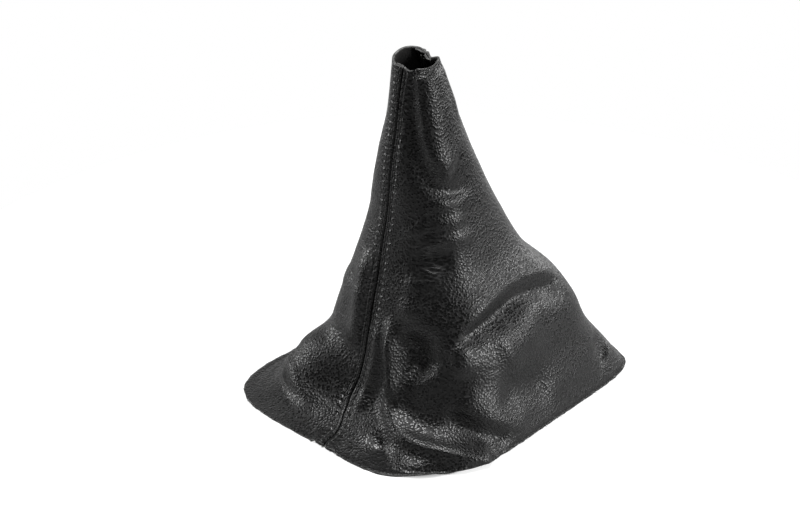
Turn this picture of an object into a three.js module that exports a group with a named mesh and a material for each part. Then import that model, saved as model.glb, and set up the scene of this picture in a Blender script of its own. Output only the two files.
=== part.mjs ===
// Leather gaiter for a gear lever: two panels sewn into a boot that falls in folds
// from a narrow neck to a wide foot. Millimetres, Z up. The front seam faces -Y and the
// foot rests on Z = 0. Angles are degrees round the boot, from the front (-Y) towards +X.
import * as THREE from 'three';

// Overall size
const HEIGHT = 196; // level of the neck rim
const FOOT_LENGTH = 182.3; // along Y, over the cut edge
const FOOT_WIDTH = 153; // along X, over the cut edge
const NECK_LENGTH = 23.5; // along Y, over the rim
const NECK_WIDTH = 22.5; // along X, over the rim
const NECK_SHIFT_X = -3; // the neck leans away from the middle of the foot
const NECK_SHIFT_Y = -14;

// Leather and seams
const LEATHER = 1.2; // thickness of one layer
const ALLOWANCE = 7; // width turned in along each side seam
const LAYER_GAP = 0.4; // between the leather and its own turned-in edge
const SEAM_GAP = 0.3; // between the two panels at a seam
const TURN_RADIUS = LEATHER + LAYER_GAP / 2; // outside of the turned edge
const TURN_STEPS = 4;
const INNER_LAYER = LEATHER + LAYER_GAP; // depth of the turned-in layer

// Thread
const STITCH_LENGTH = 5;
const STITCH_OFFSET = 2.7; // from the middle of the seam to each row of topstitching
const THREAD_RADIUS = 0.35;
const STITCH_ARCH = 0.25; // rise of each stitch between its holes
const CLOSING_THREAD_RADIUS = 0.2;
const THREAD_CLEARANCE = 0.3; // between thread and leather
const THREAD_SIDES = 4;
const THREAD_END = 1.5; // a thread stops this far from the cut edges
const BOBBIN_START = 9; // the inside threads start where the foot has risen this far

// Sections from foot to neck. Level is a percentage of the height. The next four are how
// far the boot still reaches beyond its neck, as a percentage of what it does at the foot.
// Lean is how much of the neck's shift it has, and square is how boxy the section is.
const SECTIONS = [
  { level: 0, front: 100, rear: 100, left: 100, right: 100, leanX: 0, leanY: 0, square: 100 },
  { level: 0.5, front: 96, rear: 99, left: 95.5, right: 99, leanX: 0, leanY: 0, square: 97 },
  { level: 1.5, front: 86, rear: 97, left: 85, right: 97, leanX: -33, leanY: -8, square: 90 },
  { level: 4, front: 71, rear: 93, left: 76, right: 94.5, leanX: -33, leanY: -5, square: 80 },
  { level: 8, front: 59, rear: 88, left: 69, right: 91.5, leanX: -17, leanY: -1, square: 65 },
  { level: 15, front: 51, rear: 79.5, left: 59.5, right: 83.5, leanX: 0, leanY: 6, square: 50 },
  { level: 24.5, front: 43, rear: 74, left: 51, right: 75, leanX: 17, leanY: 17, square: 42 },
  { level: 32.5, front: 36, rear: 65, left: 45, right: 64.5, leanX: 33, leanY: 27.5, square: 34 },
  { level: 41, front: 29, rear: 48.5, left: 39, right: 47, leanX: 33, leanY: 35, square: 25 },
  { level: 53, front: 20, rear: 37, left: 31.5, right: 33, leanX: 33, leanY: 49, square: 12 },
  { level: 71.5, front: 11.5, rear: 22, left: 19.5, right: 20, leanX: 67, leanY: 70.5, square: 5 },
  { level: 85.5, front: 4.5, rear: 11.5, left: 9, right: 11.5, leanX: 83, leanY: 85, square: 0 },
  { level: 100, front: 0, rear: 0, left: 0, right: 0, leanX: 100, leanY: 100, square: 0 },
];

// Power of the rounded corners where the section is boxy: 2 is an ellipse
const CORNER_POWER = { frontRight: 4, frontLeft: 5.8, rearRight: 8, rearLeft: 6 };

// The cut edges stray from level, and the foot from its outline: angle of each wave, its rise
// (or reach outwards) and half its width in degrees
const EDGE_WAVES = [{ angle: 39, rise: 3.5, half: 15 }];
const OUTLINE_WAVES = [
  { angle: 39, rise: -7, half: 11 },
  { angle: -50, rise: 2, half: 12 },
];
const EDGE_REACH = 16; // the waves fade out within this height
const RIM_WAVES = [
  { angle: 27, rise: -1.6, half: 13 },
  { angle: -115, rise: 3, half: 62 },
  { angle: 137, rise: 1.2, half: 22 },
];
const RIM_REACH = 30;

// Path of each seam: [level, angle]
const FRONT_SEAM = [
  [0, 1.5], [4, -5], [15, -6], [30, -6], [40, -8], [51, -11.5], [64, -9.5], [80, -7], [92, -2], [100, 8],
];
const REAR_SEAM = [[0, 180], [50, 178], [80, 182], [100, 190]];

// Folds: a path of [angle, level], how far the leather stands out along it (or in, below
// zero), how wide that is to the left and right of the path seen from outside, and the
// lengths over which it fades in and out at the two ends.
const FOLDS = {
  ridgeBesideSeam: {
    path: [[12, 33], [15.5, 24.5], [18.5, 16.5], [21, 9]],
    out: 7, left: 4.4, right: 4.6, fade: [20, 14],
  },
  ridgeAcrossCorner: {
    path: [[18.5, 15], [22, 9], [28.5, 5.6], [38, 4.4], [48, 3.5], [57, 2], [63, 0.2]],
    out: 7, left: 7, right: 4.5, fade: [14, 7],
  },
  ridgeBySeam: {
    path: [[2, 32], [3, 24], [3, 16], [1, 9], [1, 4]],
    out: 2.6, left: 4, right: 4, fade: [16, 10],
  },
  tuckUnderRidge: {
    path: [[12, 5.5], [22, 3.4], [36, 2.4], [50, 1.6]],
    out: -7.5, left: 4.5, right: 8, fade: [14, 12],
  },
  hollow: { path: [[27, 32], [30, 25], [35, 17]], out: -6.5, left: 14, right: 9, fade: [16, 12] },
  lipOverHollow: {
    path: [[14, 35], [30, 35.5], [46, 37]],
    out: 1.5, left: 8, right: 5, fade: [10, 10],
  },
  hollowLip: { path: [[54, 30], [55, 25], [53, 20]], out: 2.2, left: 8, right: 4, fade: [8, 8] },
  creaseTop: {
    path: [[142, 34], [118, 38], [94, 38], [70, 35.5], [54, 31]],
    out: 2, left: 3.5, right: 13, fade: [20, 26],
  },
  creaseUnder: {
    path: [[138, 30.5], [116, 34.3], [93, 34.3], [70, 32], [56, 28.5]],
    out: -3.6, left: 8, right: 3, fade: [16, 12],
  },
  neckBulge: {
    path: [[50, 100], [50, 90], [54, 81], [66, 75], [84, 71]],
    out: 3, left: 13, right: 4, fade: [6, 8],
  },
  neckValley: {
    path: [[36, 100], [35, 88], [38, 79], [50, 70.5], [76, 67], [112, 66]],
    out: -2, left: 5, right: 5, fade: [0, 12],
  },
  neckPleat: {
    path: [[137, 100], [133, 90], [128, 80.5]],
    out: 1, left: 3.5, right: 3.5, fade: [0, 20],
  },
  neckNotch: {
    path: [[161, 100], [158, 92], [154, 82]],
    out: -3.2, left: 3.5, right: 3.5, fade: [0, 24],
  },
  wrinkleTop: {
    path: [[24, 59], [50, 63.5], [75, 64.5], [104, 64]],
    out: 1.3, left: 3.5, right: 5, fade: [24, 8],
  },
  wrinkleHigh: {
    path: [[8, 51], [30, 56.5], [58, 59], [90, 59]],
    out: 1.3, left: 3.5, right: 5, fade: [20, 8],
  },
  wrinkleMiddle: {
    path: [[14, 49.5], [40, 53.5], [66, 54.5], [96, 54]],
    out: 1.3, left: 3.5, right: 5, fade: [20, 10],
  },
  pocket: { path: [[34, 48.5], [52, 50], [68, 51]], out: -1.8, left: 5, right: 7, fade: [10, 10] },
  wrinkleLow: {
    path: [[14, 41], [38, 43], [60, 45.5]],
    out: 1.2, left: 5, right: 6, fade: [12, 12],
  },
  ridgeLeftOfSeam: {
    path: [[-30, 47], [-21, 37], [-17, 27.5], [-17, 17.5]],
    out: 3.2, left: 6.5, right: 6, fade: [14, 14],
  },
  bulgeLeft: { path: [[-38, 38], [-38, 31]], out: 1.2, left: 12, right: 12, fade: [6, 6] },
  cornerFrontLeft: {
    path: [[-45, 22], [-44, 15.5], [-43, 10], [-42, 5.5], [-41, 2]],
    out: 10.5, left: 26, right: 9, fade: [24, 12],
  },
  cornerRearRight: { path: [[134, 13.5], [135, 6]], out: -3, left: 9, right: 9, fade: [8, 4] },
  billow: { path: [[114, 27], [94, 25], [74, 23]], out: 3, left: 14, right: 12, fade: [18, 12] },
  dipUnderBillow: {
    path: [[70, 15.5], [86, 12.5], [106, 10]],
    out: -3.4, left: 10, right: 12, fade: [12, 14],
  },
  ridgeUnderBillow: {
    path: [[50, 15], [61, 11], [73, 7], [84, 3]],
    out: 2, left: 9, right: 5, fade: [10, 8],
  },
  hollowUnderBillow: {
    path: [[44, 12], [54, 8.5], [63, 5.5], [72, 3.5]],
    out: -2.8, left: 6, right: 6, fade: [10, 10],
  },
  creaseRear: {
    path: [[-170, 36], [-150, 40], [-128, 38], [-108, 32]],
    out: 2.6, left: 5, right: 8, fade: [14, 14],
  },
  creaseRearUnder: {
    path: [[-168, 31], [-150, 35], [-128, 33], [-110, 27.5]],
    out: -3.2, left: 8, right: 5, fade: [12, 12],
  },
  cornerRearLeft: {
    path: [[-134, 26], [-134, 15], [-133, 8]],
    out: 4, left: 13, right: 13, fade: [16, 12],
  },
  hollowLeft: {
    path: [[-84, 30], [-88, 20], [-90, 10]],
    out: -4.5, left: 13, right: 13, fade: [14, 10],
  },
  hollowRear: {
    path: [[168, 26], [164, 16], [162, 8]],
    out: -4, left: 12, right: 12, fade: [12, 8],
  },
};
const PATH_STEPS = 6; // straight pieces between two points of a path
const SIDE_BLEND = 4; // a fold's width changes from one side to the other over this distance

// Rows of facets up the boot, and columns across each panel between its seams
const ROW_LEVELS = [
  0, 0.5, 1.8, 3.7, 6, 8.5, 11.5, 15, 18.5, 22, 25, 27.5, 30, 32.5, 34.5, 36.5, 39,
  42, 45.5, 49, 53, 57, 61.5, 66, 71, 76, 81, 85.5, 89.5, 93, 95.5, 98, 100,
];
const RIGHT_COLUMNS = [2, 4, 6.5, 9, 12, 15, 19, 23, 28, 33, 38, 44, 50, 56, 63, 69, 75, 81, 87, 93];
const LEFT_COLUMNS = [3, 7, 10.5, 14, 18, 21, 25, 28.5, 33, 39, 46, 53, 60, 67, 74, 81, 87, 93];

const SMALL_ANGLE = 0.4; // steps for slopes, in degrees and in percent of the height
const SMALL_LEVEL = 0.2;

const degrees = THREE.MathUtils.degToRad;

// Values of a smooth curve through rows that each start with their level
function smoothRow(level, rows) {
  const at = THREE.MathUtils.clamp(level, rows[0][0], rows[rows.length - 1][0]);
  const rise = (i, k) => (rows[i + 1][k] - rows[i][k]) / (rows[i + 1][0] - rows[i][0]);
  const slope = (i, k) => {
    if (i === 0) return rise(0, k);
    if (i === rows.length - 1) return rise(i - 1, k);
    const low = rows[i][0] - rows[i - 1][0];
    const high = rows[i + 1][0] - rows[i][0];
    return (rise(i - 1, k) * high + rise(i, k) * low) / (low + high);
  };
  let i = 0;
  while (i < rows.length - 2 && at >= rows[i + 1][0]) i += 1;
  const span = rows[i + 1][0] - rows[i][0];
  const t = (at - rows[i][0]) / span;
  return rows[i].slice(1).map((value, n) => {
    const k = n + 1;
    return (2 * t ** 3 - 3 * t ** 2 + 1) * value + (t ** 3 - 2 * t ** 2 + t) * span * slope(i, k)
      + (3 * t ** 2 - 2 * t ** 3) * rows[i + 1][k] + (t ** 3 - t ** 2) * span * slope(i + 1, k);
  });
}

const SECTION_ROWS = SECTIONS.map((s) => [
  s.level, s.front, s.rear, s.left, s.right, s.leanX, s.leanY, s.square,
]);

const fadeIn = (x) => {
  const t = THREE.MathUtils.clamp(x, 0, 1);
  return t * t * (3 - 2 * t);
};

// Rise of a cut edge at an angle, as the sum of its waves
function edgeRise(angle, edge) {
  return edge.reduce((sum, wave) => {
    const off = THREE.MathUtils.euclideanModulo(angle - wave.angle + 180, 360) - 180;
    return sum + wave.rise * Math.exp(-((off / wave.half) ** 2));
  }, 0);
}

// Point of the plain boot, without folds
function plainPoint(angle, level) {
  const [front, rear, left, right, leanX, leanY, square] = smoothRow(level, SECTION_ROWS);
  const sine = Math.sin(degrees(angle));
  const cosine = Math.cos(degrees(angle));
  const reachX = (NECK_WIDTH + (FOOT_WIDTH - NECK_WIDTH) * (sine < 0 ? left : right) / 100) / 2;
  const reachY = (NECK_LENGTH + (FOOT_LENGTH - NECK_LENGTH) * (cosine < 0 ? rear : front) / 100) / 2;
  const side = sine < 0 ? 'Left' : 'Right';
  const corner = CORNER_POWER[(cosine < 0 ? 'rear' : 'front') + side];
  const power = 2 + (corner - 2) * Math.max(square, 0) / 100;
  const radius = (Math.abs(sine / reachX) ** power + Math.abs(cosine / reachY) ** power) ** (-1 / power);
  const height = level / 100 * HEIGHT;
  const nearFoot = Math.max(1 - height / EDGE_REACH, 0) ** 2;
  const nearRim = Math.max(1 - (HEIGHT - height) / RIM_REACH, 0) ** 2;
  const reach = radius + edgeRise(angle, OUTLINE_WAVES) * nearFoot;
  return new THREE.Vector3(
    leanX / 100 * NECK_SHIFT_X + reach * sine,
    leanY / 100 * NECK_SHIFT_Y - reach * cosine,
    height + edgeRise(angle, EDGE_WAVES) * nearFoot + edgeRise(angle, RIM_WAVES) * nearRim,
  );
}

// Outward direction of a surface given as a function of angle and level
function outward(surface, angle, level) {
  const low = Math.max(level - SMALL_LEVEL, 0);
  const high = Math.min(level + SMALL_LEVEL, 100);
  const along = surface(angle + SMALL_ANGLE, level).sub(surface(angle - SMALL_ANGLE, level));
  const up = surface(angle, high).sub(surface(angle, low));
  return along.cross(up).normalize();
}

// A fold's path as straight pieces on the plain boot
function foldPieces(fold) {
  const curve = new THREE.CatmullRomCurve3(
    fold.path.map(([angle, level]) => new THREE.Vector3(angle, level, 0)), false, 'catmullrom', 0.5,
  );
  const steps = PATH_STEPS * (fold.path.length - 1);
  const points = [];
  for (let i = 0; i <= steps; i += 1) {
    const at = curve.getPoint(i / steps);
    points.push(plainPoint(at.x, THREE.MathUtils.clamp(at.y, 0, 100)));
  }
  let run = 0;
  const pieces = [];
  for (let i = 0; i < steps; i += 1) {
    const step = points[i + 1].clone().sub(points[i]);
    pieces.push({ start: points[i], step, length: step.length(), run });
    run += step.length();
  }
  return { ...fold, pieces, length: run };
}

const FOLD_PIECES = Object.values(FOLDS).map(foldPieces);

// How far one fold moves a point of the plain boot along its outward direction
function foldMove(fold, point, out) {
  let nearest = Infinity;
  let along = 0;
  let side = 0;
  for (const piece of fold.pieces) {
    const toPoint = point.clone().sub(piece.start);
    const t = THREE.MathUtils.clamp(toPoint.dot(piece.step) / piece.length ** 2, 0, 1);
    const off = toPoint.addScaledVector(piece.step, -t);
    if (off.length() < nearest) {
      nearest = off.length();
      along = piece.run + t * piece.length;
      side = piece.step.clone().cross(off).dot(out);
    }
  }
  const lean = fadeIn(0.5 + Math.sign(side) * nearest / SIDE_BLEND);
  const width = fold.right + (fold.left - fold.right) * lean;
  const [fadeStart, fadeEnd] = fold.fade;
  const ends = (fadeStart > 0 ? fadeIn(along / fadeStart) : 1)
    * (fadeEnd > 0 ? fadeIn((fold.length - along) / fadeEnd) : 1);
  return fold.out * ends * Math.exp(-((nearest / width) ** 2));
}

// Point of the boot's grain side, with its folds
function foldedPoint(angle, level) {
  const point = plainPoint(angle, level);
  const out = outward(plainPoint, angle, level);
  const move = FOLD_PIECES.reduce((sum, fold) => sum + foldMove(fold, point, out), 0);
  return point.addScaledVector(out, move);
}

// Angle at a distance along the leather from a seam, to its right if above zero
function angleFromSeam(seam, level, distance) {
  const [middle] = smoothRow(level, seam);
  const perDegree = plainPoint(middle + 1, level).distanceTo(plainPoint(middle - 1, level)) / 2;
  return middle + distance / perDegree;
}

// The grain side at an angle and level, settled so that all layers under it clear the
// surface the foot lies on, and its outward direction
function leatherFrame(angle, level, seamDistance) {
  const point = foldedPoint(angle, level);
  const out = outward(foldedPoint, angle, level);
  const doubled = 1 - fadeIn((seamDistance - ALLOWANCE) / ALLOWANCE);
  const least = (LEATHER + doubled * INNER_LAYER) * Math.max(out.z, 0);
  point.z = Math.max(point.z, least);
  return { point, out };
}

// Places across a panel, from one seam's turned-in edge to the other's. Each has a distance
// from its seam or a share of the way between the seams, and the depths of its two faces.
function panelPlaces(columns) {
  const turned = INNER_LAYER + LEATHER;
  const bend = TURN_RADIUS + SEAM_GAP / 2;
  const layers = [ALLOWANCE, STITCH_OFFSET, bend];
  const edge = layers.map((distance) => ({ distance, grain: turned, flesh: INNER_LAYER }));
  for (let i = 1; i < TURN_STEPS; i += 1) {
    const turn = Math.PI * i / TURN_STEPS;
    edge.push({
      distance: bend - TURN_RADIUS * Math.sin(turn),
      grain: TURN_RADIUS * (1 + Math.cos(turn)),
      fleshDistance: bend - LAYER_GAP / 2 * Math.sin(turn),
      flesh: TURN_RADIUS + LAYER_GAP / 2 * Math.cos(turn),
    });
  }
  layers.reverse().forEach((distance) => edge.push({ distance, grain: 0, flesh: LEATHER }));
  const middle = columns.map((share) => ({ share: share / 100, grain: 0, flesh: LEATHER }));
  const start = edge.map((place) => ({ ...place, seam: 'start' }));
  const end = edge.map((place) => ({ ...place, seam: 'end' })).reverse();
  return [...start, ...middle, ...end];
}

// A panel between two seams, lofted from foot to rim as one closed skin
function panelGeometry(startSeam, endSeam, columns) {
  const places = panelPlaces(columns);
  const positions = [];
  for (const level of ROW_LEVELS) {
    const first = angleFromSeam(startSeam, level, ALLOWANCE);
    const last = angleFromSeam(endSeam, level, -ALLOWANCE);
    const put = (place, distance, depth) => {
      let angle = first + (last - first) * place.share;
      if (place.seam === 'start') angle = angleFromSeam(startSeam, level, distance);
      if (place.seam === 'end') angle = angleFromSeam(endSeam, level, -distance);
      const { point, out } = leatherFrame(angle, level, place.seam ? distance : 2 * ALLOWANCE);
      point.addScaledVector(out, -depth);
      positions.push(point.x, point.y, Math.max(point.z, 0));
    };
    places.forEach((place) => put(place, place.distance, place.grain));
    [...places].reverse().forEach((place) => {
      put(place, place.fleshDistance ?? place.distance, place.flesh);
    });
  }
  const ring = 2 * places.length;
  const faces = [];
  const quad = (a, b, c, d) => faces.push(a, b, c, a, c, d);
  for (let row = 0; row < ROW_LEVELS.length - 1; row += 1) {
    for (let i = 0; i < ring; i += 1) {
      const next = (i + 1) % ring;
      quad(row * ring + i, row * ring + next, (row + 1) * ring + next, (row + 1) * ring + i);
    }
  }
  const top = (ROW_LEVELS.length - 1) * ring;
  for (let i = 0; i < places.length - 1; i += 1) {
    quad(i, ring - 1 - i, ring - 2 - i, i + 1);
    quad(top + i, top + i + 1, top + ring - 2 - i, top + ring - 1 - i);
  }
  return closedGeometry(positions, faces);
}

function closedGeometry(positions, faces) {
  const geometry = new THREE.BufferGeometry();
  geometry.setAttribute('position', new THREE.Float32BufferAttribute(positions, 3));
  geometry.setIndex(faces);
  geometry.computeVertexNormals();
  return geometry;
}

// A line that follows the leather at a distance from a seam and a depth below its grain side
function seamLine(seam, distance, depth) {
  const rows = ROW_LEVELS.map((level) => {
    const angle = angleFromSeam(seam, level, distance);
    const { point, out } = leatherFrame(angle, level, Math.abs(distance));
    return { point: point.addScaledVector(out, -depth), out };
  });
  const runs = [0];
  for (let i = 1; i < rows.length; i += 1) {
    runs.push(runs[i - 1] + rows[i].point.distanceTo(rows[i - 1].point));
  }
  const at = (run) => {
    let i = 0;
    while (i < rows.length - 2 && run > runs[i + 1]) i += 1;
    const t = (run - runs[i]) / (runs[i + 1] - runs[i]);
    return {
      point: rows[i].point.clone().lerp(rows[i + 1].point, t),
      out: rows[i].out.clone().lerp(rows[i + 1].out, t).normalize(),
    };
  };
  return { at, runs, rows };
}

// A thread through points that each have an outward direction
function threadGeometry(points, radius) {
  const positions = [];
  points.forEach(({ point, out }, i) => {
    const before = points[Math.max(i - 1, 0)].point;
    const after = points[Math.min(i + 1, points.length - 1)].point;
    const ahead = after.clone().sub(before).normalize();
    const across = ahead.clone().cross(out).normalize();
    const up = across.clone().cross(ahead);
    for (let k = 0; k < THREAD_SIDES; k += 1) {
      const turn = 2 * Math.PI * k / THREAD_SIDES;
      positions.push(...point.clone()
        .addScaledVector(across, radius * Math.cos(turn))
        .addScaledVector(up, radius * Math.sin(turn)).toArray());
    }
  });
  const faces = [];
  for (let i = 0; i < points.length - 1; i += 1) {
    for (let k = 0; k < THREAD_SIDES; k += 1) {
      const next = (k + 1) % THREAD_SIDES;
      const a = i * THREAD_SIDES;
      const b = a + THREAD_SIDES;
      faces.push(a + k, b + next, a + next, a + k, b + k, b + next);
    }
  }
  const last = (points.length - 1) * THREAD_SIDES;
  for (let k = 1; k < THREAD_SIDES - 1; k += 1) {
    faces.push(0, k, k + 1, last, last + k + 1, last + k);
  }
  return closedGeometry(positions, faces);
}

// Needle thread: an arch over each stitch, low at its holes
function topstitchGeometry(seam, distance) {
  const line = seamLine(seam, distance, -(THREAD_CLEARANCE + THREAD_RADIUS));
  const length = line.runs[line.runs.length - 1] - 2 * THREAD_END;
  const stitches = Math.floor(length / STITCH_LENGTH);
  const points = [];
  for (let i = 0; i <= 2 * stitches; i += 1) {
    const { point, out } = line.at(THREAD_END + i * length / (2 * stitches));
    points.push({ point: point.addScaledVector(out, i % 2 ? STITCH_ARCH : 0), out });
  }
  return threadGeometry(points, THREAD_RADIUS);
}

// Inside thread: it lies along the leather from above the foot to below the rim
function insideThreadGeometry(seam, distance, depth, radius) {
  const line = seamLine(seam, distance, depth);
  const start = line.runs[line.rows.findIndex((row) => row.point.z > BOBBIN_START)];
  const end = line.runs[line.runs.length - 1] - THREAD_END;
  const points = [line.at(start)];
  line.runs.forEach((run, i) => {
    if (run > start && run < end) points.push(line.rows[i]);
  });
  points.push(line.at(end));
  return threadGeometry(points, radius);
}

const leather = new THREE.MeshStandardMaterial({ color: 0x1b1a1a, roughness: 0.45, metalness: 0 });
const thread = new THREE.MeshStandardMaterial({ color: 0x101010, roughness: 0.6, metalness: 0 });

const gaiter = new THREE.Group();

function addPiece(name, geometry, material) {
  const piece = new THREE.Mesh(geometry, material);
  piece.name = name;
  gaiter.add(piece);
}

const rearSeamFromLeft = REAR_SEAM.map(([level, angle]) => [level, angle - 360]);
addPiece('right_panel', panelGeometry(FRONT_SEAM, REAR_SEAM, RIGHT_COLUMNS), leather);
const leftColumns = LEFT_COLUMNS.map((share) => 100 - share).reverse();
addPiece('left_panel', panelGeometry(rearSeamFromLeft, FRONT_SEAM, leftColumns), leather);

const bobbinDepth = INNER_LAYER + LEATHER + THREAD_CLEARANCE + THREAD_RADIUS;
// The closing thread lies in the valley between the two turned edges, inside the boot
const closingReach = TURN_RADIUS + THREAD_CLEARANCE + CLOSING_THREAD_RADIUS;
const closingDepth = TURN_RADIUS + Math.sqrt(closingReach ** 2 - (TURN_RADIUS + SEAM_GAP / 2) ** 2);
for (const [name, seam] of [['front', FRONT_SEAM], ['rear', REAR_SEAM]]) {
  for (const [side, distance] of [['left', -STITCH_OFFSET], ['right', STITCH_OFFSET]]) {
    addPiece(`${name}_topstitch_${side}`, topstitchGeometry(seam, distance), thread);
    const bobbin = insideThreadGeometry(seam, distance, bobbinDepth, THREAD_RADIUS);
    addPiece(`${name}_bobbin_thread_${side}`, bobbin, thread);
  }
  const closing = insideThreadGeometry(seam, 0, closingDepth, CLOSING_THREAD_RADIUS);
  addPiece(`${name}_closing_thread`, closing, thread);
}

export default gaiter;
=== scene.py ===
"""Gear lever gaiter in black grained leather, as a Blender add-on that is run as a script.

Two leather panels are sewn into a boot that falls in folds from a narrow neck to a wide
foot. Tables of sections and folds are in millimetres, angles are in degrees round the boot
from the front (-Y) towards +X, and levels are a percentage of its height. Every mesh is in
metres.
"""
import math

import bpy
import numpy as np
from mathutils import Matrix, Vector, noise


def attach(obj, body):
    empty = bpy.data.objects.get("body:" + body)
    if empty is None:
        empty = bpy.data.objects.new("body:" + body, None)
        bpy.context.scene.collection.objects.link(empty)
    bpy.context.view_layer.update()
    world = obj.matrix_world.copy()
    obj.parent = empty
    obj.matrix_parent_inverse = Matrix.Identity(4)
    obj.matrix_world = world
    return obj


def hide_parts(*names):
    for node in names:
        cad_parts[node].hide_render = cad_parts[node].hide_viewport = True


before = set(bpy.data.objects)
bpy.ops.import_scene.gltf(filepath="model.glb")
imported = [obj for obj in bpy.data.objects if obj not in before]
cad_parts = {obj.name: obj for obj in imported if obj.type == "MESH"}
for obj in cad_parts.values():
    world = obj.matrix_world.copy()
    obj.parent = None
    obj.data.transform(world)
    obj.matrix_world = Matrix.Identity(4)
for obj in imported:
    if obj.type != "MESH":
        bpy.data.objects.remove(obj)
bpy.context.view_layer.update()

bl_info = {
    "name": "Gear lever gaiter",
    "version": (1, 0, 0),
    "blender": (4, 5, 0),
    "location": "3D View > Sidebar > Gaiter",
    "description": "Builds a sewn leather gaiter for a gear lever, with its stitching and a plain stage",
    "category": "Object",
}

BODY = "root"
MM = 0.001

# Overall size, in millimetres
HEIGHT = 196
FOOT_LENGTH = 182.3
FOOT_WIDTH = 153
NECK_LENGTH = 23.5
NECK_WIDTH = 22.5
NECK_SHIFT = (-3, -14)

# Sections from foot to neck: level, then how far the boot still reaches beyond its neck to
# the front, rear, left and right as a percentage of what it does at the foot, how much of
# the neck's shift it has in X and Y, and how boxy it is
SECTIONS = [
    (0, 100, 100, 100, 100, 0, 0, 100),
    (0.5, 96, 99, 95.5, 99, 0, 0, 97),
    (1.5, 86, 97, 85, 97, -33, -8, 90),
    (4, 71, 93, 76, 94.5, -33, -5, 80),
    (8, 59, 88, 69, 91.5, -17, -1, 65),
    (15, 51, 79.5, 59.5, 83.5, 0, 6, 50),
    (24.5, 43, 74, 51, 75, 17, 17, 42),
    (32.5, 36, 65, 45, 64.5, 33, 27.5, 34),
    (41, 29, 48.5, 39, 47, 33, 35, 25),
    (53, 20, 37, 31.5, 33, 33, 49, 12),
    (71.5, 11.5, 22, 19.5, 20, 67, 70.5, 5),
    (85.5, 4.5, 11.5, 9, 11.5, 83, 85, 0),
    (100, 0, 0, 0, 0, 100, 100, 0),
]
# Power of the rounded corners where the section is boxy: 2 is an ellipse
CORNER_POWER = {"front_right": 4, "front_left": 5.8, "rear_right": 8, "rear_left": 6}

# How the cut edges stray: angle of each wave, its rise or reach, and half its width
EDGE_WAVES = [(39, 3.5, 15)]
OUTLINE_WAVES = [(39, -7, 11), (-50, 2, 12)]
EDGE_REACH = 16
RIM_WAVES = [(27, -1.6, 13), (-115, 3, 62), (137, 1.2, 22)]
RIM_REACH = 30

# Path of each seam: level, angle
FRONT_SEAM = [
    (0, 1.5), (4, -5), (15, -6), (30, -6), (40, -8), (51, -11.5), (64, -9.5), (80, -7), (92, -2),
    (100, 8),
]
REAR_SEAM = [(0, 180), (50, 178), (80, 182), (100, 190)]
SEAMS = {"front": FRONT_SEAM, "rear": REAR_SEAM}

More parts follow.
